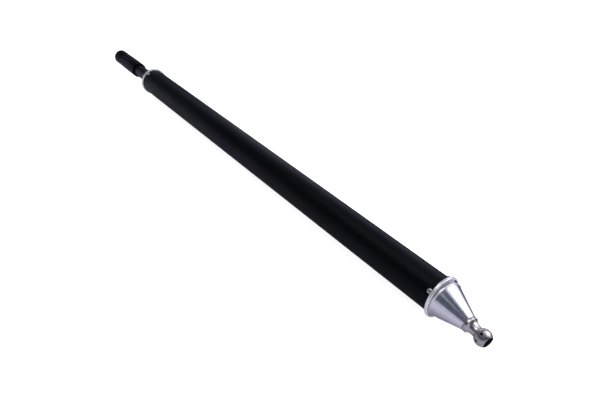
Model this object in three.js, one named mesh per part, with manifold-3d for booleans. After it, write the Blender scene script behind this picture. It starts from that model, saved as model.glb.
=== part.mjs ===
// Hydraulic cylinder with an oil-fed ball end and a fluted rod-end coupling.
//
// The barrel's axis is the X axis. +X points to the rod end, +Z is up, and the
// origin is on the axis, 455 mm from the tube's rod end (within 1 mm of its middle).
// All sizes are millimetres.
//
// The conical ball end is a separate piece. It sits on a small spherical nose of
// the base cap and is held there by a hollow centre bolt and a spherical washer,
// so it can cock a few degrees to line up with its socket. It is drawn lying over
// on its lower stop.

import * as THREE from 'three';
import { mergeVertices } from 'three/addons/utils/BufferGeometryUtils.js';
import Module from 'manifold-3d';

const wasm = await Module();
wasm.setup();

// ---------------------------------------------------------------- dimensions
const SEG = 24;               // facets around a large turned piece
const SEG_SMALL = 12;         // facets around a screw or a drilled hole
const GAP = 0.3;              // clearance between touching pieces

const TUBE_R = 28;            // barrel outside radius (56 mm tube)
const BORE_R = 25;            // cylinder bore radius (50 mm bore)
const TUBE_BASE_X = -454;     // ends of the tube
const TUBE_ROD_X = 455;
const SPIGOT_R = BORE_R - GAP;

const BASE_FLANGE_R = 32.5;   // rim of the base cap
const BASE_FLANGE_T = 4.7;    // its thickness
const GLAND_FLANGE_R = 30.5;  // rim of the rod gland
const GLAND_FLANGE_X = 461;   // its outer face
const BASE_SCREW_X = -450;    // rows of radial screws at each end of the tube
const GLAND_SCREW_X = 451;
const SCREW_R = 2;            // M4 shank
const SCREW_HEAD_R = 3.8;     // M4 button head
const SCREW_HEAD_H = 1.9;
const BASE_SCREW_DEG = 42.5;  // first screw, counted from +Y towards +Z
const GLAND_SCREW_DEG = 60.5;

const PIVOT_X = -460;         // centre of the ball end's spherical seat
const NOSE_R = 10;            // base cap's spherical nose
const WEB_R = 15;             // outside of the cone's spherical web
const TILT_DEG = 7.5;         // how far the ball end lies over from the barrel's axis
const TILT_DIR = [0, 0.7685, -0.6398];  // the side it lies over to

const LIP_R = 28.9;           // lip at the cone's foot
const CONE_R1 = 27.9;         // cone, large end
const CONE_R2 = 12.6;         // cone, small end
const CONE_S1 = 3.3;          // stations along the ball end, counted from the seat's centre
const CONE_S2 = 47.0;
const STUD_BORE_R = 3.5;      // oil passage through the stud
const STUD_KEY_AF = 8;        // hexagon socket at the bottom of the ball's mouth
const COLLAR_R = 12.4;        // round collar that closes the cone
const NECK_R = 8.3;
const BALL_R = 12.5;          // 25 mm ball
const BALL_S = 74.1;
const BALL_BORE_R = 8.5;      // open mouth of the ball
const PORT_R = 2.5;           // six radial ports around the ball
const PORT_S = 72.8;
const PORT_DEG = 61.5;

const ROD_R = 14;             // 28 mm rod
const ROD_SPIGOT_R = 10;      // turned-down ends of the rod
const ROD_SHOULDER_X = -360.7;
const ROD_STEP_X = 556;
const ROD_TIP_X = 610.6;
const PISTON_R = 24.6;

const SLEEVE_R = 17.8;        // coupling sleeve on the rod's end
const SLEEVE_X1 = 543.3;
const SLEEVE_X2 = 619;
const FLUTES = 12;
const FLUTE_R = 2.4;
const FLUTE_LEN = 28;
const RING_R = 17.1;          // narrow spacer ring between sleeve and cap
const RING_X2 = 632;
const CAP_R = 17.5;           // end cap of the coupling
const CAP_X2 = 664;

// ------------------------------------------------------------------- helpers
const rad = THREE.MathUtils.degToRad;

// A closed mesh with shared vertices, no slivers and its faces pointing out.
function closed(geometry) {
  const g = geometry.clone();
  g.deleteAttribute('normal');
  g.deleteAttribute('uv');
  const m = mergeVertices(g, 1e-4);
  const p = m.attributes.position.array;
  const idx = m.index.array;
  const keep = [];
  for (let i = 0; i < idx.length; i += 3) {
    const a = idx[i], b = idx[i + 1], c = idx[i + 2];
    if (a !== b && b !== c && c !== a) keep.push(a, b, c);
  }
  let volume = 0;
  for (let i = 0; i < keep.length; i += 3) {
    const a = 3 * keep[i], b = 3 * keep[i + 1], c = 3 * keep[i + 2];
    volume += p[a] * (p[b + 1] * p[c + 2] - p[b + 2] * p[c + 1])
            - p[a + 1] * (p[b] * p[c + 2] - p[b + 2] * p[c])
            + p[a + 2] * (p[b] * p[c + 1] - p[b + 1] * p[c]);
  }
  if (volume < 0) {
    for (let i = 0; i < keep.length; i += 3) {
      const t = keep[i + 1];
      keep[i + 1] = keep[i + 2];
      keep[i + 2] = t;
    }
  }
  const out = new THREE.BufferGeometry();
  out.setAttribute('position', new THREE.BufferAttribute(p.slice(), 3));
  out.setIndex(keep);
  return out;
}

// A piece turned around the X axis from a list of [x, radius] points. A list that
// doesn't start on the axis closes on itself.
function turned(profile, segments = SEG) {
  const pts = profile.map(([x, r]) => new THREE.Vector2(r, x));
  const onAxis = profile[0][1] === 0 && profile[profile.length - 1][1] === 0;
  if (!onAxis) pts.push(pts[0].clone());
  const g = new THREE.LatheGeometry(pts, segments);
  g.rotateZ(-Math.PI / 2);
  return closed(g);
}

// The same for the ball end, whose stations run along -X from the seat's centre.
const turnedEnd = (profile, segments = SEG) => turned(profile.map(([s, r]) => [-s, r]), segments);

function toSolid(geometry) {
  const g = closed(geometry);
  return new wasm.Manifold(new wasm.Mesh({
    numProp: 3,
    vertProperties: new Float32Array(g.attributes.position.array),
    triVerts: new Uint32Array(g.index.array),
  }));
}

function fromSolid(solid) {
  const m = solid.getMesh();
  const g = new THREE.BufferGeometry();
  g.setAttribute('position', new THREE.BufferAttribute(new Float32Array(m.vertProperties), 3));
  g.setIndex(Array.from(m.triVerts));
  return closed(g);
}

function cut(body, tools) {
  let solid = toSolid(body);
  for (const tool of tools) solid = solid.subtract(toSolid(tool));
  return fromSolid(solid);
}

// A prism or cylinder along X from x1 to x2.
function bar(x1, x2, radius, sides, turn = 0) {
  const g = new THREE.CylinderGeometry(radius, radius, x2 - x1, sides);
  g.rotateY(turn);
  g.rotateZ(-Math.PI / 2);
  g.translate((x1 + x2) / 2, 0, 0);
  return g;
}

// A radial cylinder at station x, from radius r1 to r2, at an angle from +Y towards +Z.
function spoke(x, deg, r1, r2, radius, sides = SEG_SMALL) {
  const g = new THREE.CylinderGeometry(radius, radius, r2 - r1, sides);
  g.translate(0, (r1 + r2) / 2, 0);
  g.rotateX(rad(deg));
  g.translate(x, 0, 0);
  return g;
}

// An O-ring of section radius w and centre radius r at station x.
function ring(x, r, w, sides = 6) {
  const pts = [];
  for (let i = 0; i < sides; i += 1) {
    const a = (i / sides) * 2 * Math.PI;
    pts.push([x + w * Math.cos(a), r + w * Math.sin(a)]);
  }
  return turned(pts);
}

// A rectangular ring with small chamfers.
function band(x1, x2, r1, r2, c = 0.3) {
  return turned([[x1, r1], [x1, r2 - c], [x1 + c, r2], [x2 - c, r2], [x2, r2 - c], [x2, r1]]);
}

const four = (deg) => [0, 1, 2, 3].map((i) => deg + 90 * i);

// ----------------------------------------------------------------- materials
const finish = (color, roughness, metalness) => () => new THREE.MeshStandardMaterial({ color, roughness, metalness });
const blackPaint = finish(0x16171b, 0.38, 0.2);
const aluminium = finish(0xc9c8d2, 0.22, 1.0);
const steel = finish(0xa9a5a6, 0.25, 1.0);
const blackSteel = finish(0x24252b, 0.4, 0.6);
const castIron = finish(0x5a5a5e, 0.5, 0.9);
const rubber = finish(0x0d0d0f, 0.75, 0.0);
const sealPlastic = finish(0x2f5d8a, 0.55, 0.0);
const bronze = finish(0x8c6a3a, 0.45, 0.6);

const cylinder = new THREE.Group();
function add(name, geometry, material, parent = cylinder) {
  const mesh = new THREE.Mesh(geometry, material());
  mesh.name = name;
  parent.add(mesh);
  return mesh;
}

// -------------------------------------------------------------------- barrel
// Honed tube with a row of four clearance holes at each end.
add('barrel_tube', cut(
  turned([[TUBE_BASE_X, BORE_R], [TUBE_BASE_X, TUBE_R - 0.4], [TUBE_BASE_X + 0.4, TUBE_R],
    [TUBE_ROD_X - 0.4, TUBE_R], [TUBE_ROD_X, TUBE_R - 0.4], [TUBE_ROD_X, BORE_R]]),
  [...four(BASE_SCREW_DEG).map((d) => spoke(BASE_SCREW_X, d, 22, 31, SCREW_R + GAP)),
    ...four(GLAND_SCREW_DEG).map((d) => spoke(GLAND_SCREW_X, d, 22, 31, SCREW_R + GAP))],
), blackPaint);

// Base cap: spigot with an O-ring groove, flange with a shallow cup, and the
// spherical nose in the middle of the cup. A drilling feeds the oil chamber.
const cupFloor = TUBE_BASE_X - 2;
const baseBack = TUBE_BASE_X - GAP;
const baseFace = baseBack - BASE_FLANGE_T;
const nose = (deg, r = NOSE_R) => [PIVOT_X - r * Math.sin(rad(deg)), r * Math.cos(rad(deg))];
const boltHoleR = 5.3;
add('base_cap', cut(
  turned([
    [-425, 3], [-425, 23.9], [-425.8, SPIGOT_R],
    [-434, SPIGOT_R], [-434, 22.4], [-438.4, 22.4], [-438.4, SPIGOT_R],
    [baseBack, SPIGOT_R], [baseBack, BASE_FLANGE_R - 0.9], [baseBack - 0.9, BASE_FLANGE_R],
    [baseFace + 1.8, BASE_FLANGE_R], [baseFace + 0.55, BASE_FLANGE_R - 0.55], [baseFace, BASE_FLANGE_R - 1.8],
    [baseFace, 30.4], [baseFace + 0.4, 30],
    [cupFloor, 30], [cupFloor, Math.sqrt(NOSE_R ** 2 - (cupFloor - PIVOT_X) ** 2)], nose(-12), nose(0),
    nose(13), nose(25), nose(25, 8.2), nose(42, 8.2), nose(42), nose(50), nose(58),
    [-430.5, boltHoleR], [-429, 3],
  ]),
  four(BASE_SCREW_DEG).map((d) => spoke(BASE_SCREW_X, d, 18.5, 27, SCREW_R + GAP)),
), aluminium);
add('base_oring', ring(-436.2, 23.7, 1.1), rubber);
add('seat_oring', ring(PIVOT_X - 9.05 * Math.sin(rad(33.5)), 9.05 * Math.cos(rad(33.5)), 0.6), rubber);

// Hollow centre bolt and its spherical washer, which hold the cone on the nose.
add('centre_bolt', cut(
  turned([
    [-431.5, 2.2], [-431.5, 4.4], [-432.1, 5], [PIVOT_X - 17.2, 5], [PIVOT_X - 17.2, 8],
    [PIVOT_X - 24.7, 8], [PIVOT_X - 25.2, 7.5], [PIVOT_X - 25.2, 2.2],
  ]),
  [bar(PIVOT_X - 26, PIVOT_X - 20.7, 4.5, 6)],
), steel);
const washerR = WEB_R + GAP;
const dish = (r) => [PIVOT_X - Math.sqrt(washerR * washerR - r * r), r];
add('spherical_washer', turned([
  dish(5.3), dish(7.4), dish(9.4), [PIVOT_X - 16.9, 9.4], [PIVOT_X - 16.9, 5.3],
]), steel);

// Button-head screws with a hexagon socket. The head sits just clear of the tube.
function buttonScrew(x, deg) {
  const h = TUBE_R + 0.2;
  const pts = [[19, 0], [19, 1.5], [19.6, SCREW_R], [h, SCREW_R], [h, SCREW_HEAD_R - 0.15], [h + 0.25, SCREW_HEAD_R],
    [h + 1.0, SCREW_HEAD_R * 0.87], [h + 1.6, SCREW_HEAD_R * 0.62], [h + SCREW_HEAD_H, SCREW_HEAD_R * 0.42], [h + SCREW_HEAD_H, 0]];
  const g = cut(turned(pts, SEG_SMALL), [bar(h + 0.7, h + 3, 1.4, 6)]);
  g.rotateZ(Math.PI / 2);        // along +Y
  g.rotateX(rad(deg));
  g.translate(x, 0, 0);
  return g;
}
four(BASE_SCREW_DEG).forEach((d, i) => add(`base_screw_${i + 1}`, buttonScrew(BASE_SCREW_X, d), steel));
four(GLAND_SCREW_DEG).forEach((d, i) => add(`gland_screw_${i + 1}`, buttonScrew(GLAND_SCREW_X, d), steel));

// ------------------------------------------------------------------ ball end
const endGroup = new THREE.Group();
endGroup.position.set(PIVOT_X, 0, 0);
const tiltAxis = new THREE.Vector3(-1, 0, 0).cross(new THREE.Vector3(...TILT_DIR)).normalize();
endGroup.quaternion.setFromAxisAngle(tiltAxis, rad(TILT_DEG));
cylinder.add(endGroup);

const seatR = NOSE_R + GAP;
const seat = (r) => [Math.sqrt(seatR * seatR - r * r), r];
const web = (r) => [Math.sqrt(WEB_R * WEB_R - r * r), r];
add('end_cone', turnedEnd([
  seat(7.4), web(7.4), web(9.4), web(11), web(12.6),
  [27, 12.6], [31, 9.9], [47.1, 9.9], [47.6, 10.4], [47.6, 12.0],
  [CONE_S2, CONE_R2], [CONE_S1, CONE_R1], [3.1, 28.5], [2.6, LIP_R],
  [0.7, LIP_R], [0.2, LIP_R - 0.5], seat(10.298), seat(10.1), seat(9.6), seat(8.73),
]), aluminium, endGroup);

add('stud_washer', turnedEnd([[47.9, 9.9], [47.9, 12.2], [48.7, 12.2], [48.7, 9.9]]), steel, endGroup);

// Hollow ball stud: threaded spigot, round collar, waisted neck, and a ball with an
// open mouth and six radial ports. A hexagon socket at the bottom of the mouth
// takes the key that tightens it.
const ball = (deg) => [BALL_S + BALL_R * Math.sin(rad(deg)), BALL_R * Math.cos(rad(deg))];
const studBody = turnedEnd([
  [35.5, STUD_BORE_R], [35.5, 9.0], [36.1, 9.6], [49.0, 9.6],
  [49.0, COLLAR_R - 0.3], [49.3, COLLAR_R], [52.4, COLLAR_R], [54.2, 10.4],
  [55.6, 9.3], [57.4, 8.6], [60.0, NECK_R], [63.9, NECK_R], [65.0, 8.75],
  ball(-40), ball(-28), ball(-14), ball(0), ball(14), ball(26), ball(36), ball(45.6),
  [BALL_S + 9.1, BALL_BORE_R], [BALL_S - 4.0, BALL_BORE_R], [BALL_S - 6.8, STUD_BORE_R],
]);
const keySocket = bar(-69, -61, STUD_KEY_AF / 2 / Math.cos(Math.PI / 6), 6);
const ports = [];
for (let i = 0; i < 6; i += 1) ports.push(spoke(-PORT_S, PORT_DEG + 60 * i, 6, 14, PORT_R));
add('ball_stud', cut(studBody, [keySocket, ...ports]), steel, endGroup);

// ------------------------------------------------------------------ rod gland
// Spigot, flange, and inner grooves for the guide bush, the rod seal and the
// wiper. A small drilling lets the rod side breathe.
add('rod_gland', cut(
  turned([
    [395, 14.3], [395, 23.9], [395.8, SPIGOT_R],
    [428, SPIGOT_R], [428, 22.4], [432.4, 22.4], [432.4, SPIGOT_R],
    [TUBE_ROD_X + GAP, SPIGOT_R], [TUBE_ROD_X + GAP, GLAND_FLANGE_R - 0.7], [TUBE_ROD_X + GAP + 0.7, GLAND_FLANGE_R],
    [GLAND_FLANGE_X - 1, GLAND_FLANGE_R], [GLAND_FLANGE_X, GLAND_FLANGE_R - 1],
    [GLAND_FLANGE_X, 18.6], [452, 18.6], [452, 14.3], [434, 14.3], [434, 18.6], [425, 18.6],
    [425, 14.3], [417.3, 14.3], [417.3, 16.5], [401.7, 16.5], [401.7, 14.3],
  ]),
  [...four(GLAND_SCREW_DEG).map((d) => spoke(GLAND_SCREW_X, d, 19, 27, SCREW_R + GAP)),
    (() => {
      const g = bar(394, 463, 1, 8);
      const a = rad(GLAND_SCREW_DEG + 45);
      g.translate(0, 20.8 * Math.cos(a), 20.8 * Math.sin(a));
      return g;
    })()],
), aluminium);
add('gland_oring', ring(430.2, 23.7, 1.1), rubber);
add('rod_guide_bush', band(402, 417, 14.3, 16.2), bronze);
add('rod_seal', turned([
  [425.3, 14.4], [425.3, 15.3], [428.6, 16.35], [425.3, 17.4], [425.3, 18.3], [433.7, 18.3], [433.7, 14.4],
]), sealPlastic);
add('rod_wiper', turned([
  [452.3, 14.8], [452.3, 18.3], [460.6, 18.3], [460.9, 16.2], [463, 14.7], [462.6, 14.3], [459, 14.8],
]), rubber);

// -------------------------------------------------------------- rod and piston
add('piston_rod', turned([
  [-419, 0], [-419, 9.2], [-418.2, ROD_SPIGOT_R], [ROD_SHOULDER_X, ROD_SPIGOT_R],
  [ROD_SHOULDER_X, ROD_R], [ROD_STEP_X, ROD_R], [ROD_STEP_X, ROD_SPIGOT_R],
  [ROD_TIP_X - 0.8, ROD_SPIGOT_R], [ROD_TIP_X, ROD_SPIGOT_R - 0.8], [ROD_TIP_X, 0],
]), blackSteel);
add('piston', turned([
  [-405.7, 10.3], [-405.7, 23.8], [-404.9, PISTON_R], [-402.5, PISTON_R], [-402.5, 22.4], [-395, 22.4], [-395, PISTON_R],
  [-388, PISTON_R], [-388, 19.5], [-378.5, 19.5], [-378.5, PISTON_R],
  [-371, PISTON_R], [-371, 22.4], [-363.5, 22.4], [-363.5, PISTON_R], [-361.8, PISTON_R], [-361, 23.8], [-361, 10.3],
  [-381.6, 10.3], [-381.6, 12.4], [-385, 12.4], [-385, 10.3],
]), castIron);
add('piston_guide_ring_1', band(-402.2, -395.3, 22.7, 24.7), bronze);
add('piston_guide_ring_2', band(-370.7, -363.8, 22.7, 24.7), bronze);
add('piston_seal', band(-387.7, -378.8, 19.8, 24.7, 0.6), sealPlastic);
add('piston_oring', ring(-383.3, 11.35, 0.75), rubber);
add('piston_nut', cut(bar(-418, -406, 11 / Math.cos(Math.PI / 6), 6), [bar(-420, -404, ROD_SPIGOT_R + GAP, SEG)]), steel);

// -------------------------------------------------------------- rod-end coupling
// Sleeve with twelve round-ended flutes, a narrow spacer ring, and an end cap
// whose spigot passes through the ring into the sleeve.
const flutes = [];
for (let i = 0; i < FLUTES; i += 1) {
  const g = new THREE.CapsuleGeometry(FLUTE_R, FLUTE_LEN + 6, 2, 8);
  g.rotateZ(-Math.PI / 2);
  g.translate(SLEEVE_X2 - FLUTE_LEN + FLUTE_R + (FLUTE_LEN + 6) / 2, 0, 0);
  g.rotateX(Math.PI / 8);
  const a = rad(GLAND_SCREW_DEG - 8 + (360 / FLUTES) * i);
  g.translate(0, 18.2 * Math.cos(a), 18.2 * Math.sin(a));
  flutes.push(g);
}
add('coupling_sleeve', cut(
  turned([
    [SLEEVE_X1, 14.3], [SLEEVE_X1, SLEEVE_R - 0.7], [SLEEVE_X1 + 0.7, SLEEVE_R],
    [SLEEVE_X2 - 0.6, SLEEVE_R], [SLEEVE_X2, SLEEVE_R - 0.6],
    [SLEEVE_X2, 13.3], [612, 13.3], [612, 10.3], [556.3, 10.3], [556.3, 14.3],
  ]),
  flutes,
), blackSteel);
add('coupling_ring', band(SLEEVE_X2 + GAP, RING_X2, 13.3, RING_R, 0.4), blackSteel);
add('coupling_cap', turned([
  [612.3, 0], [612.3, 12.4], [612.9, 13], [RING_X2 + GAP, 13],
  [RING_X2 + GAP, CAP_R - 0.5], [RING_X2 + GAP + 0.5, CAP_R],
  [CAP_X2 - 3.6, CAP_R], [CAP_X2 - 1.5, CAP_R - 0.7], [CAP_X2 - 0.4, CAP_R - 2.1], [CAP_X2, CAP_R - 3.8], [CAP_X2, 0],
]), blackSteel);

export default cylinder;
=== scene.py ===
import math

import bpy
import bmesh
from mathutils import Matrix, Vector

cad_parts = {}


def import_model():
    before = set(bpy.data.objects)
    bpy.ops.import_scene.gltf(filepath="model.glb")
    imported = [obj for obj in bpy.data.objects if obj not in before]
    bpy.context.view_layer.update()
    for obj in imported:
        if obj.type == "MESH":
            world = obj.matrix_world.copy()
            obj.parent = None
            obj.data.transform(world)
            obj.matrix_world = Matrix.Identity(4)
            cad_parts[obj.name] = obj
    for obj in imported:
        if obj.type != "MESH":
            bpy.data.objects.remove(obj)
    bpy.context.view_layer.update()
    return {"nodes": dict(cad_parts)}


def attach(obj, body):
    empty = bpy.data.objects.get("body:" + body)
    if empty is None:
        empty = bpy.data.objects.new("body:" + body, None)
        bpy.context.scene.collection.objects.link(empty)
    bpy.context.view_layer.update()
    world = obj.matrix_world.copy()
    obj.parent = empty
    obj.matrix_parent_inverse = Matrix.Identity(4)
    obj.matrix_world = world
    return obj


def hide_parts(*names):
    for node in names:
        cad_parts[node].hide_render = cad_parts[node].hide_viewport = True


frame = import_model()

MM = 0.001
scene = bpy.context.scene

# ------------------------------------------------------------------ camera
# Above and beside the ball end, looking along the barrel.
cam_data = bpy.data.cameras.new("camera")
cam_data.sensor_fit = "HORIZONTAL"
cam_data.sensor_width = 36.0
cam_data.lens = 33.3
cam_data.clip_start = 0.01
cam_data.clip_end = 50.0
cam = bpy.data.objects.new("camera", cam_data)
scene.collection.objects.link(cam)
right = Vector((-0.602062, -0.798450, 0.0))
down = Vector((-0.468359, 0.353161, -0.809887))
fwd = Vector((0.646654, -0.487602, -0.586585))
rot = Matrix((right, -down, -fwd)).transposed().to_4x4()
cam.matrix_world = Matrix.Translation(Vector((-0.7728, 0.48205, 0.54937))) @ rot
scene.camera = cam

scene.view_settings.view_transform = "Standard"
scene.view_settings.look = "None"
scene.view_settings.exposure = 0.0
scene.view_settings.gamma = 1.0


# --------------------------------------------------------------- materials
def new_mat(name):
    m = bpy.data.materials.new(name)
    m.use_nodes = True
    nt = m.node_tree
    nt.nodes.clear()
    out = nt.nodes.new("ShaderNodeOutputMaterial")
    bsdf = nt.nodes.new("ShaderNodeBsdfPrincipled")
    nt.links.new(bsdf.outputs[0], out.inputs[0])
    coord = nt.nodes.new("ShaderNodeTexCoord")
    return m, nt, bsdf, coord


def mapped(nt, coord, scale):
    mp = nt.nodes.new("ShaderNodeMapping")
    mp.inputs["Scale"].default_value = scale
    nt.links.new(coord.outputs["Object"], mp.inputs["Vector"])
    return mp


def noise(nt, vec, scale, detail=3.0, rough=0.5):
    n = nt.nodes.new("ShaderNodeTexNoise")
    n.inputs["Scale"].default_value = scale
    n.inputs["Detail"].default_value = detail
    n.inputs["Roughness"].default_value = rough
    nt.links.new(vec.outputs[0], n.inputs["Vector"])
    return n


def ramp(nt, src, stops):
    r = nt.nodes.new("ShaderNodeValToRGB")
    el = r.color_ramp.elements
    while len(el) < len(stops):
        el.new(0.5)
    for e, (p, c) in zip(el, stops):
        e.position = p
        e.color = c if len(c) == 4 else (*c, 1.0)
    nt.links.new(src, r.inputs[0])
    return r


def remap(nt, src, a, b, lo=0.3, hi=0.7):
    r = nt.nodes.new("ShaderNodeMapRange")
    r.inputs["From Min"].default_value = lo
    r.inputs["From Max"].default_value = hi
    r.inputs["To Min"].default_value = a
    r.inputs["To Max"].default_value = b
    nt.links.new(src, r.inputs["Value"])
    return r


def bump(nt, bsdf, height, dist, strength=1.0, prev=None):
    b = nt.nodes.new("ShaderNodeBump")
    b.inputs["Strength"].default_value = strength
    b.inputs["Distance"].default_value = dist
    nt.links.new(height, b.inputs["Height"])
    if prev is not None:
        nt.links.new(prev.outputs[0], b.inputs["Normal"])
    nt.links.new(b.outputs[0], bsdf.inputs["Normal"])
    return b


def metal(name, dark, light, rough, turned=0.0, aniso=0.0, blotch=60.0, fine=900.0, axial=False,
          scratch=0.0, metallic=1.0):
    """Machined metal: cloudy colour, uneven roughness, and turning lines around the X axis."""
    m, nt, bsdf, coord = new_mat(name)
    bsdf.inputs["Metallic"].default_value = metallic
    cloud = noise(nt, mapped(nt, coord, (1, 1, 1)), blotch, 4.0, 0.6)
    # turning marks: noise that varies along X only
    lines = noise(nt, mapped(nt, coord, (1, 0.004, 0.004)), fine * 4, 3.0, 0.7)
    mix = nt.nodes.new("ShaderNodeMix")
    mix.data_type = "FLOAT"
    mix.inputs["Factor"].default_value = 0.5
    nt.links.new(cloud.outputs["Fac"], mix.inputs[2])
    nt.links.new(lines.outputs["Fac"], mix.inputs[3])
    col = ramp(nt, mix.outputs[0], [(0.32, dark), (0.68, light)])
    nt.links.new(col.outputs[0], bsdf.inputs["Base Color"])
    rg = remap(nt, mix.outputs[0], rough[0], rough[1], 0.3, 0.7)
    nt.links.new(rg.outputs[0], bsdf.inputs["Roughness"])
    prev = None
    if turned > 0:
        prev = bump(nt, bsdf, lines.outputs["Fac"], turned)
    if scratch > 0:
        sc = noise(nt, mapped(nt, coord, (0.15, 1, 1) if axial else (1, 1, 1)), 2400.0, 2.0, 0.6)
        prev = bump(nt, bsdf, sc.outputs["Fac"], scratch, 1.0, prev)
    if aniso > 0:
        bsdf.inputs["Anisotropic"].default_value = aniso
        tg = nt.nodes.new("ShaderNodeTangent")
        tg.direction_type = "RADIAL"
        tg.axis = "X"
        nt.links.new(tg.outputs[0], bsdf.inputs["Tangent"])
    return m


def paint(name, dark, light, rough, peel=2e-5, metallic=0.0, coat=0.0, coat_rough=0.15, spec=0.5,
          speck=0.0, grain=700.0, turned=0.0, tint=(1.0, 1.0, 1.0), fade=None):
    """Satin black coating: faint clouding, uneven gloss, orange peel and a little dust."""
    m, nt, bsdf, coord = new_mat(name)
    bsdf.inputs["Metallic"].default_value = metallic
    bsdf.inputs["Specular IOR Level"].default_value = spec
    bsdf.inputs["Specular Tint"].default_value = (*tint, 1)
    bsdf.inputs["Coat Weight"].default_value = coat
    bsdf.inputs["Coat Roughness"].default_value = coat_rough
    cloud = noise(nt, mapped(nt, coord, (0.35, 1, 1)), 38.0, 5.0, 0.62)
    col = ramp(nt, cloud.outputs["Fac"], [(0.33, dark), (0.67, light)])
    colour = col.outputs[0]
    if speck > 0:
        dust = noise(nt, mapped(nt, coord, (1, 1, 1)), 1500.0, 2.0, 0.5)
        dm = ramp(nt, dust.outputs["Fac"], [(0.66, (0, 0, 0)), (0.78, (speck, speck, speck))])
        add = nt.nodes.new("ShaderNodeMix")
        add.data_type = "RGBA"
        add.blend_type = "ADD"
        add.inputs["Factor"].default_value = 1.0
        nt.links.new(colour, add.inputs[6])
        nt.links.new(dm.outputs[0], add.inputs[7])
        colour = add.outputs[2]
    if fade:
        # the colour turns lighter from station x0 to x1 along X
        x0, x1, far_tone = fade
        sep = nt.nodes.new("ShaderNodeSeparateXYZ")
        nt.links.new(coord.outputs["Object"], sep.inputs[0])
        along = remap(nt, sep.outputs["X"], 0.0, 1.0, x0, x1)
        tone_mix = nt.nodes.new("ShaderNodeMix")
        tone_mix.data_type = "RGBA"
        nt.links.new(along.outputs[0], tone_mix.inputs["Factor"])
        nt.links.new(colour, tone_mix.inputs[6])
        tone_mix.inputs[7].default_value = (*far_tone, 1)
        colour = tone_mix.outputs[2]
    nt.links.new(colour, bsdf.inputs["Base Color"])
    rn = noise(nt, mapped(nt, coord, (0.2, 1, 1)), 90.0, 4.0, 0.6)
    rg = remap(nt, rn.outputs["Fac"], rough[0], rough[1])
    nt.links.new(rg.outputs[0], bsdf.inputs["Roughness"])
    peeln = noise(nt, mapped(nt, coord, (1, 1, 1)), grain, 2.0, 0.5)
    prev = bump(nt, bsdf, peeln.outputs["Fac"], peel)
    if turned > 0:
        lines = noise(nt, mapped(nt, coord, (1, 0.004, 0.004)), 3200.0, 3.0, 0.7)
        bump(nt, bsdf, lines.outputs["Fac"], turned, 1.0, prev)
    return m


M_TUBE = paint("satin_black_paint", (0.0014, 0.0015, 0.0022), (0.0028, 0.0028, 0.0035), (0.36, 0.44),
               peel=1.2e-5, spec=0.09, speck=0.004, tint=(0.72, 0.79, 1.0))
M_ALU = metal("turned_aluminium", (0.76, 0.745, 0.765), (0.86, 0.845, 0.865), (0.13, 0.24), turned=6e-6,
              aniso=0.55, blotch=45.0, scratch=1.5e-6)
M_STUD = metal("polished_stud", (0.49, 0.445, 0.43), (0.65, 0.605, 0.59), (0.19, 0.30), turned=3e-6,
               aniso=0.2, blotch=130.0, scratch=3e-6)
M_STEEL = metal("bright_steel", (0.48, 0.46, 0.45), (0.66, 0.65, 0.65), (0.20, 0.34), turned=0.0,
                blotch=300.0, scratch=5e-6)
M_BALL = metal("ground_ball", (0.40, 0.372, 0.37), (0.53, 0.497, 0.495), (0.25, 0.35), turned=3e-6,
               aniso=0.2, blotch=150.0, scratch=3e-6)
M_FLANGE = metal("satin_aluminium", (0.80, 0.785, 0.82), (0.89, 0.875, 0.905), (0.22, 0.32), turned=5e-6,
                 aniso=0.2, blotch=60.0, scratch=2e-6, metallic=0.55)
M_PORT = metal("drilled_wall", (0.30, 0.25, 0.22), (0.46, 0.39, 0.35), (0.40, 0.55), turned=0.0, blotch=300.0,
               metallic=0.25)
# painted shade: a near-black metal laid in recesses and bores where shade falls
M_BORE_SHADE = metal("painted_bore_shade", (0.020, 0.019, 0.020), (0.045, 0.043, 0.045), (0.40, 0.55), turned=4e-6, blotch=200.0,
               metallic=0.8)
M_ROD = paint("satin_black_rod", (0.006, 0.006, 0.009), (0.011, 0.011, 0.015), (0.24, 0.33), peel=4e-6,
              metallic=0.06, spec=0.12, grain=1800.0, turned=2.5e-6, tint=(0.9, 0.9, 1.0))
M_COUPLING = paint("black_coupling", (0.0018, 0.0018, 0.0026), (0.0042, 0.0042, 0.0052), (0.31, 0.42), peel=1.0e-5,
                   metallic=0.0, spec=0.07, speck=0.006, grain=1200.0, turned=2e-6, tint=(0.9, 0.88, 1.0))
M_SLEEVE = paint("sleeve_lighter_at_far_end", (0.0018, 0.0018, 0.0026), (0.0042, 0.0042, 0.0052), (0.31, 0.42), peel=1.0e-5,
                 metallic=0.0, spec=0.07, speck=0.006, grain=1200.0, turned=2e-6, tint=(0.9, 0.88, 1.0),
                 fade=(0.570, 0.612, (0.023, 0.022, 0.027)))
# the cap's own black, also laid on the sleeve's flutes and shaded faces as painted shade
M_CAP_AND_SHADE = paint("dark_cap_and_painted_shade", (0.0012, 0.0012, 0.0018), (0.0030, 0.0030, 0.0038), (0.30, 0.40), peel=1.0e-5,
              metallic=0.0, spec=0.045, speck=0.004, grain=1200.0, turned=2e-6, tint=(0.9, 0.88, 1.0))
M_IRON = metal("piston_iron", (0.17, 0.17, 0.175), (0.30, 0.30, 0.31), (0.38, 0.55), turned=6e-6, blotch=120.0)
M_RUBBER = paint("black_rubber", (0.008, 0.008, 0.009), (0.016, 0.016, 0.017), (0.6, 0.78), peel=2e-5, spec=0.35)
M_SEAL = paint("blue_polyurethane", (0.035, 0.12, 0.27), (0.06, 0.18, 0.36), (0.42, 0.55), peel=8e-6)
M_BRONZE = metal("bronze_ring", (0.27, 0.17, 0.08), (0.46, 0.32, 0.18), (0.42, 0.6), turned=3e-6, blotch=400.0,
                 metallic=0.7)


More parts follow.
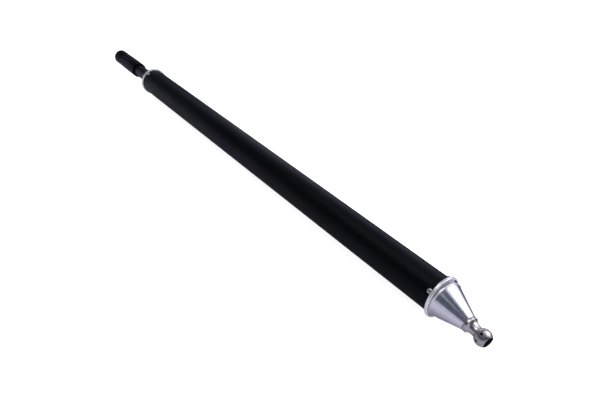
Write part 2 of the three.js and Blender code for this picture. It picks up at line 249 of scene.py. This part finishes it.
# ------------------------------------------------------------- mesh helpers
def fillet(points, closed=True, steps=5):
    """Rounds the corners of an (x, r[, radius]) outline."""
    out = []
    n = len(points)
    for i, p in enumerate(points):
        x, r = p[0], p[1]
        f = p[2] if len(p) > 2 else 0.0
        if f <= 0 or (not closed and (i == 0 or i == n - 1)):
            out.append((x, r))
            continue
        a = Vector(points[i - 1][:2])
        b = Vector((x, r))
        c = Vector(points[(i + 1) % n][:2])
        u = (a - b)
        v = (c - b)
        lu, lv = u.length, v.length
        u.normalize()
        v.normalize()
        ang = u.angle(v)
        t = min(f / math.tan(ang / 2), 0.49 * lu, 0.49 * lv)
        f = t * math.tan(ang / 2)
        centre = b + (u + v).normalized() * (f / math.sin(ang / 2))
        s = b + u * t - centre
        e = b + v * t - centre
        sweep = math.atan2(s.x * e.y - s.y * e.x, s.dot(e))
        k = max(2, int(steps * abs(sweep) / (math.pi / 2) + 0.999))
        for j in range(k + 1):
            th = sweep * j / k
            out.append((centre.x + s.x * math.cos(th) - s.y * math.sin(th),
                        centre.y + s.x * math.sin(th) + s.y * math.cos(th)))
    return out


def finish_mesh(me, angle=32.0):
    for p in me.polygons:
        p.use_smooth = True
    me.set_sharp_from_angle(angle=math.radians(angle))
    me.update()


def lathe_mesh(name, profile, seg=128, closed=True, phase=0.0):
    """Turned around the X axis. A profile that isn't closed starts and ends on the axis. Sizes in mm."""
    bm = bmesh.new()
    rings = []
    for x, r in profile:
        if r < 1e-6:
            rings.append([bm.verts.new((x * MM, 0, 0))])
        else:
            rings.append([bm.verts.new((x * MM, r * MM * math.cos(phase + 2 * math.pi * k / seg),
                                        r * MM * math.sin(phase + 2 * math.pi * k / seg))) for k in range(seg)])
    pairs = list(zip(rings, rings[1:]))
    if closed:
        pairs.append((rings[-1], rings[0]))
    for a, b in pairs:
        for k in range(seg):
            k2 = (k + 1) % seg
            if len(a) == 1 and len(b) == 1:
                continue
            if len(a) == 1:
                bm.faces.new((a[0], b[k2], b[k]))
            elif len(b) == 1:
                bm.faces.new((a[k], a[k2], b[0]))
            else:
                bm.faces.new((a[k], a[k2], b[k2], b[k]))
    bmesh.ops.recalc_face_normals(bm, faces=bm.faces)
    me = bpy.data.meshes.new(name)
    bm.to_mesh(me)
    bm.free()
    if volume(me) < 0:
        me.flip_normals()
    return me


def volume(me):
    bm = bmesh.new()
    bm.from_mesh(me)
    v = bm.calc_volume(signed=True)
    bm.free()
    return v


def obj(name, me, matrix=None):
    o = bpy.data.objects.new(name, me)
    scene.collection.objects.link(o)
    if matrix is not None:
        o.matrix_world = matrix
    return o


def prism_mesh(name, x1, x2, radius, sides, phase=0.0):
    return lathe_mesh(name, [(x1, 0), (x1, radius), (x2, radius), (x2, 0)], sides, closed=False, phase=phase)


def boolean(me, tool, op="DIFFERENCE"):
    """me (op) tool, as a new mesh. Both are consumed."""
    a = obj("tmp_a", me)
    b = obj("tmp_b", tool)
    mod = a.modifiers.new("b", "BOOLEAN")
    mod.operation = op
    mod.solver = "EXACT"
    mod.object = b
    bpy.context.view_layer.update()
    deps = bpy.context.evaluated_depsgraph_get()
    out = bpy.data.meshes.new_from_object(a.evaluated_get(deps))
    bpy.data.objects.remove(a)
    bpy.data.objects.remove(b)
    bm = bmesh.new()
    bm.from_mesh(out)
    bmesh.ops.remove_doubles(bm, verts=bm.verts, dist=1e-7)
    bmesh.ops.dissolve_degenerate(bm, dist=1e-7, edges=bm.edges)
    bm.to_mesh(out)
    bm.free()
    return out


def merged(meshes):
    """Several separate cutters as one mesh."""
    bm = bmesh.new()
    for m in meshes:
        bm.from_mesh(m)
    me = bpy.data.meshes.new("tools")
    bm.to_mesh(me)
    bm.free()
    return me


def turned_copy(me, matrix):
    c = me.copy()
    c.transform(matrix)
    return c


def piece(name, me, mat, body, nodes, matrix=None, angle=32.0):
    finish_mesh(me, angle)
    o = obj(name, me, matrix)
    me.materials.clear()
    me.materials.append(mat)
    for p in me.polygons:
        p.material_index = 0
    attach(o, body)
    if nodes:
        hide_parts(*nodes)
    return o


# ------------------------------------------------------------------ barrel
piece("barrel", lathe_mesh("barrel", fillet([
    (-454, 25), (-454, 28, 0.5), (455, 28, 0.5), (455, 25)], steps=6), 192),
    M_TUBE, "barrel", ["barrel_tube"])

PIV = -460.0


def nose(deg, r=10.0):
    return (PIV - r * math.sin(math.radians(deg)), r * math.cos(math.radians(deg)))


base = fillet([
    (-425, 3), (-425, 24.7, 0.8), (-434, 24.7), (-434, 22.4, 0.3), (-438.4, 22.4, 0.3), (-438.4, 24.7),
    (-454.3, 24.7), (-454.3, 32.5, 0.9), (-459.0, 32.5, 1.9), (-459.0, 30.0, 0.4), (-456, 30, 0.4),
    (-456, 29.1), (-456, 9.165)], steps=8)
base += [nose(a) for a in range(-20, 26, 5)] + [nose(25, 8.2), nose(42, 8.2)] + [nose(a) for a in (42, 46, 50, 54, 58)]
base += [(-430.5, 5.3), (-429, 3)]
base_me = lathe_mesh("base_cap_body", base, 160)
piece("base_cap_body", base_me, M_FLANGE, "barrel", ["base_cap"])
# the cup behind the cone's lip is painted near-black as painted shade
base_me.materials.append(M_BORE_SHADE)
for p in base_me.polygons:
    if p.center.x < -455.9 * MM and 29.15 * MM < math.hypot(p.center.y, p.center.z) < 30.03 * MM:
        p.material_index = 1


def screw_mesh(name):
    h = 28.05
    prof = fillet([(20, 0), (20, 2.0, 0.5), (h, 2.0), (h, 3.8, 0.25), (h + 0.6, 3.8, 0.25)], closed=False, steps=4)
    for i in range(1, 9):
        a = math.radians(12 + i * 8.2)
        prof.append((h + 0.55 + 1.55 * math.sin(a) / math.sin(math.radians(77.6)),
                     3.8 * math.cos(a) ** 0.75))
    prof[-1] = (h + 2.1, 1.6)
    prof.append((h + 2.1, 0))
    me = lathe_mesh(name, prof, 48, closed=False)
    sock = merged([prism_mesh("s", h + 0.75, h + 3, 1.44, 6)])
    me = boolean(me, sock)
    # along the radius: X becomes +Y
    me.transform(Matrix.Rotation(math.radians(90), 4, "Z"))
    return me


screw = screw_mesh("screw")
for row, x, deg in (("base", -450, 42.5), ("gland", 451, 60.5)):
    for i in range(4):
        m = Matrix.Translation((x * MM, 0, 0)) @ Matrix.Rotation(math.radians(deg + 90 * i), 4, "X")
        turn = Matrix.Rotation(math.radians(17 + 41 * i), 4, "Y")
        piece(f"{row}_button_screw_{i + 1}", turned_copy(screw, m @ turn), M_STEEL, "barrel",
              [f"{row}_screw_{i + 1}"], angle=35)

# ---------------------------------------------------------------- ball end
tilt_dir = Vector((0, 0.7685, -0.6398)).normalized()
tilt_axis = Vector((-1, 0, 0)).cross(tilt_dir).normalized()
END = Matrix.Translation((PIV * MM, 0, 0)) @ Matrix.Rotation(math.radians(7.5), 4, tilt_axis)


def back(prof):
    return [(-p[0], *p[1:]) for p in prof]


def sph(R, r):
    return (math.sqrt(R * R - r * r), r)


cone = [sph(10.3, 7.4), sph(15, 7.4), sph(15, 8.4), sph(15, 9.4), sph(15, 10.4), sph(15, 11.5), sph(15, 12.6),
        (27, 12.6, 1.0), (31, 9.9, 1.0), (47.6, 9.9, 0.4), (47.6, 12.45, 0.45), (3.3, 27.94, 0.5), (3.0, 28.9, 0.45),
        (0.2, 28.9, 0.6), (0.2, 10.298)]
cone = cone + [sph(10.3, r) for r in (10.2, 9.9, 9.4, 8.8, 8.1)]
cone_me = lathe_mesh("cone_body", fillet(back(cone), steps=5), 192)
piece("cone_body", cone_me, M_ALU, "ball_end", ["end_cone"], END)
# the lip keeps the satin finish of the flanges
cone_me.materials.append(M_FLANGE)
for p in cone_me.polygons:
    if p.center.x > -3.2 * MM and math.hypot(p.center.y, p.center.z) > 27.9 * MM:
        p.material_index = 1
piece("stud_seal_washer", lathe_mesh("stud_seal_washer", fillet(back(
    [(47.9, 9.9), (47.9, 12.2, 0.2), (48.7, 12.2, 0.2), (48.7, 9.9)]), steps=4), 144),
    M_STEEL, "ball_end", ["stud_washer"], END)

BS, BR = 74.1, 12.5
stud = fillet([(35.5, 3.5), (35.5, 9.6, 0.6), (49.0, 9.6), (49.0, 12.4, 0.3), (52.4, 12.4, 0.25), (54.2, 10.4, 0.2),
               (55.6, 9.15, 2.5), (60.0, 8.3, 8.0), (63.9, 8.3)], steps=10)
stud += [(64.4, 8.36), (64.85, 8.56), (65.2, 8.83)]
stud += [(BS + BR * math.sin(math.radians(a)), BR * math.cos(math.radians(a))) for a in range(-44, 45, 3)]
stud += fillet([(BS + BR * math.sin(math.radians(45.9)), BR * math.cos(math.radians(45.9))), (BS + 9.1, 8.5, 0.15),
                (BS - 4.0, 8.5, 0.5), (BS - 6.8, 3.5)], closed=False, steps=4)
stud_me = lathe_mesh("ball_stud_body", back(stud), 160)
# hexagon socket at the bottom of the mouth
stud_me = boolean(stud_me, prism_mesh("key", -69, -61, 4.62, 6))
tools = []
for i in range(6):
    t = lathe_mesh("port", [(6.0, 0), (6.0, 2.5), (11.5, 2.5), (12.2, 3.1), (14, 3.1), (14, 0)], 40, closed=False)
    t.transform(Matrix.Rotation(math.radians(90), 4, "Z"))
    t.transform(Matrix.Translation((-72.8 * MM, 0, 0)) @ Matrix.Rotation(math.radians(61.5 + 60 * i), 4, "X"))
    tools.append(t)
stud_me = boolean(stud_me, merged(tools))
stud_obj = piece("ball_stud_body", stud_me, M_STUD, "ball_end", ["ball_stud"], END, angle=28)
# the bored insides and the hex socket are painted near-black as painted shade, and the ball is ground duller than the
# turned neck
stud_me.materials.append(M_BORE_SHADE)
stud_me.materials.append(M_BALL)
stud_me.materials.append(M_PORT)
for p in stud_me.polygons:
    c, n = p.center, p.normal
    r = math.hypot(c.y, c.z)
    inward = (n.y * c.y + n.z * c.z) < -0.1 * r
    if c.x < -61 * MM and r < 8.54 * MM and (inward or r < 4.7 * MM):
        p.material_index = 1
    elif c.x < -65.2 * MM:
        from_centre = math.hypot(c.x + BS * MM, r)
        p.material_index = 3 if (r > 8.56 * MM and from_centre < 12.35 * MM) else 2

# --------------------------------------------------------------- rod gland
piece("gland_body", lathe_mesh("gland_body", fillet([
    (395, 14.3), (395, 24.7, 0.8), (428, 24.7), (428, 22.4), (432.4, 22.4), (432.4, 24.7), (455.3, 24.7),
    (455.3, 30.5, 0.7), (461, 30.5, 1.3), (461, 18.6, 0.3), (452, 18.6), (452, 14.3), (434, 14.3), (434, 18.6),
    (425, 18.6), (425, 14.3), (417.3, 14.3), (417.3, 16.5), (401.7, 16.5), (401.7, 14.3)], steps=6), 160),
    M_FLANGE, "barrel", ["rod_gland"])
piece("wiper_lip", lathe_mesh("wiper_lip", fillet([
    (452.3, 14.8), (452.3, 18.3, 0.3), (460.6, 18.3, 0.3), (461.0, 16.4, 0.4), (463, 14.75, 0.12), (462.6, 14.25, 0.1),
    (459, 14.8, 0.5)], steps=5), 128), M_RUBBER, "barrel", ["rod_wiper"])

# --------------------------------------------------------------- piston rod
piece("rod_shaft", lathe_mesh("rod_shaft", fillet([
    (-419, 0), (-419, 10, 0.8), (-360.7, 10), (-360.7, 14, 0.4), (556, 14, 0.4), (556, 10), (610.6, 10, 0.8),
    (610.6, 0)], closed=False, steps=5), 128), M_ROD, "rod", ["piston_rod"])

# ----------------------------------------------------------- rod-end coupling
sleeve = lathe_mesh("sleeve_body", fillet([
    (543.3, 14.3, 0.3), (543.3, 17.8, 0.8), (560, 17.8), (575, 17.8), (590, 17.8), (619, 17.8, 0.7), (619, 13.3), (612, 13.3), (612, 10.3), (556.3, 10.3),
    (556.3, 14.3)], steps=6), 192)
tools = []
for i in range(12):
    prof = [(591 + 2.4 - 2.4 * math.cos(math.radians(a)), 2.4 * math.sin(math.radians(a))) for a in range(0, 91, 10)]
    prof += [(626, 2.4), (626, 0)]
    t = lathe_mesh("flute", prof, 32, closed=False)
    a = math.radians(50 + 30 * i)
    t.transform(Matrix.Translation((0, 18.2 * MM * math.cos(a), 18.2 * MM * math.sin(a))))
    tools.append(t)
sleeve = boolean(sleeve, merged(tools))
piece("sleeve_body", sleeve, M_SLEEVE, "rod", ["coupling_sleeve"], angle=30)
# the flutes and the inner and end faces get the darker cap black as painted shade
sleeve.materials.append(M_CAP_AND_SHADE)
for p in sleeve.polygons:
    if 17.0 * MM > math.hypot(p.center.y, p.center.z) or (
            p.center.x > 590.5 * MM and math.hypot(p.center.y, p.center.z) < 17.7 * MM):
        p.material_index = 1
piece("spacer_ring", lathe_mesh("spacer_ring", fillet([
    (619.3, 13.3), (619.3, 17.1, 0.5), (632, 17.1, 0.5), (632, 13.3)], steps=5), 128), M_COUPLING,
    "rod", ["coupling_ring"])
piece("cap_body", lathe_mesh("cap_body", fillet([
    (612.3, 0), (612.3, 13, 0.6), (632.3, 13), (632.3, 17.5, 0.6), (664, 17.5, 4.2), (664, 0)], closed=False,
    steps=12), 160), M_CAP_AND_SHADE, "rod", ["coupling_cap"])

# --------------------------------------------- CAD pieces that stay, inside
for node, mat in {
    "base_oring": M_RUBBER, "seat_oring": M_RUBBER, "gland_oring": M_RUBBER, "piston_oring": M_RUBBER,
    "centre_bolt": M_STEEL, "spherical_washer": M_STEEL, "piston_nut": M_STEEL, "rod_guide_bush": M_BRONZE,
    "piston_guide_ring_1": M_BRONZE, "piston_guide_ring_2": M_BRONZE, "rod_seal": M_SEAL, "piston_seal": M_SEAL,
    "piston": M_IRON,
}.items():
    o = frame["nodes"][node]
    o.data.materials.clear()
    o.data.materials.append(mat)

# ------------------------------------------------------------------- stage
# A pale floor that curves up into a low wall all round, in a dim room with three soft boxes.
# The mirrors of the metal see a greyer table with an edge instead of the floor, as on a real
# product table, so that they keep dark lines while the floor stays white.
FLOOR_Z = -0.0328


def bowl(name, y_min, lift):
    outline = [(r, 0.0) for r in (0.0, 0.05, 0.1, 0.15, 0.2, 0.25, 0.3, 0.4, 0.5, 0.7, 0.9, 1.3, 1.8, 2.6, 3.4)]
    outline += [(3.4 + 1.2 * math.sin(math.radians(a)), 1.2 - 1.2 * math.cos(math.radians(a)))
                for a in range(8, 73, 8)]
    bm = bmesh.new()
    rings = []
    for r, z in outline:
        n = 1 if r == 0 else 96
        r *= 1 - 5 * lift
        rings.append([bm.verts.new((r * math.cos(2 * math.pi * k / 96), r * math.sin(2 * math.pi * k / 96),
                                    FLOOR_Z + z + lift)) for k in range(n)])
    for a, b in zip(rings, rings[1:]):
        for k in range(96):
            k2 = (k + 1) % 96
            if len(a) == 1:
                bm.faces.new((a[0], b[k], b[k2]))
            else:
                bm.faces.new((a[k], b[k], b[k2], a[k2]))
    if y_min is not None:
        bmesh.ops.bisect_plane(bm, geom=bm.verts[:] + bm.edges[:] + bm.faces[:], plane_co=(0, y_min, 0),
                               plane_no=(0, -1, 0), clear_outer=True)
    me = bpy.data.meshes.new(name)
    bm.to_mesh(me)
    bm.free()
    for p in me.polygons:
        p.use_smooth = True
    o = obj(name, me)
    return o


def matte(name, colour):
    m, nt, bsdf, coord = new_mat(name)
    bsdf.inputs["Base Color"].default_value = (*colour, 1)
    bsdf.inputs["Roughness"].default_value = 0.9
    bsdf.inputs["Specular IOR Level"].default_value = 0.1
    return m


floor = bowl("floor", None, 0.0)
glow = matte("pale_floor", (0.8, 0.8, 0.805))  # back-lit white acrylic
glow_bsdf = glow.node_tree.nodes["Principled BSDF"]
glow_bsdf.inputs["Emission Color"].default_value = (1, 1, 1, 1)
glow_bsdf.inputs["Emission Strength"].default_value = 0.88
floor.data.materials.append(glow)
floor.visible_glossy = False
floor.visible_shadow = False
table = bowl("table", -0.095, 0.0002)
grey = matte("grey_table", (0.87, 0.84, 0.95))
table.data.materials.append(grey)
table.visible_camera = False
table.visible_diffuse = False
table.visible_shadow = False
table.visible_transmission = False

world = bpy.data.worlds.new("world")
scene.world = world
world.use_nodes = True
wn = world.node_tree
wn.nodes.clear()
wo = wn.nodes.new("ShaderNodeOutputWorld")
bg = wn.nodes.new("ShaderNodeBackground")
bg.inputs[0].default_value = (0.60, 0.70, 1.0, 1)
bg.inputs[1].default_value = 0.14
wn.links.new(bg.outputs[0], wo.inputs[0])


def softbox(name, target, az, el, dist, size, size_y, radiance, colour=(1, 1, 1)):
    """A soft light seen from target at azimuth az (from +X towards +Y) and elevation el, in degrees."""
    d = bpy.data.lights.new(name, "AREA")
    d.shape = "RECTANGLE"
    d.size = size
    d.size_y = size_y
    d.energy = radiance * math.pi * size * size_y
    d.color = colour
    o = bpy.data.objects.new(name, d)
    scene.collection.objects.link(o)
    a, e = math.radians(az), math.radians(el)
    v = Vector((math.cos(e) * math.cos(a), math.cos(e) * math.sin(a), math.sin(e)))
    o.location = Vector(target) + v * dist
    o.rotation_euler = (-v).to_track_quat("-Z", "Y").to_euler()
    o.visible_camera = False
    return o


CONE_AT = (-0.49, 0, 0)
softbox("key", CONE_AT, -108, 41, 4.2, 3.7, 3.5, 2.0, (0.96, 0.96, 1.0))
softbox("key_halo", CONE_AT, -108, 40, 4.3, 6.0, 6.7, 0.74, (0.88, 0.88, 1.0))
softbox("top", (0, 0, 0), 25, 78, 4.6, 2.8, 2.8, 1.35, (0.98, 0.98, 1.0))
softbox("warm", (-0.45, 0, 0), 35, 63, 3.5, 1.5, 1.3, 0.9, (1.0, 0.90, 0.80))
softbox("low", CONE_AT, 125, 56, 4.0, 0.9, 1.1, 0.42, (0.98, 0.95, 1.0))
softbox("back", (0.55, 0, 0), -33, 36, 2.0, 1.0, 0.8, 0.9, (0.86, 0.82, 1.0))
softbox("side", (0.1, 0, 0), -62, 18, 2.0, 1.9, 1.0, 1.25, (0.84, 0.80, 1.0))
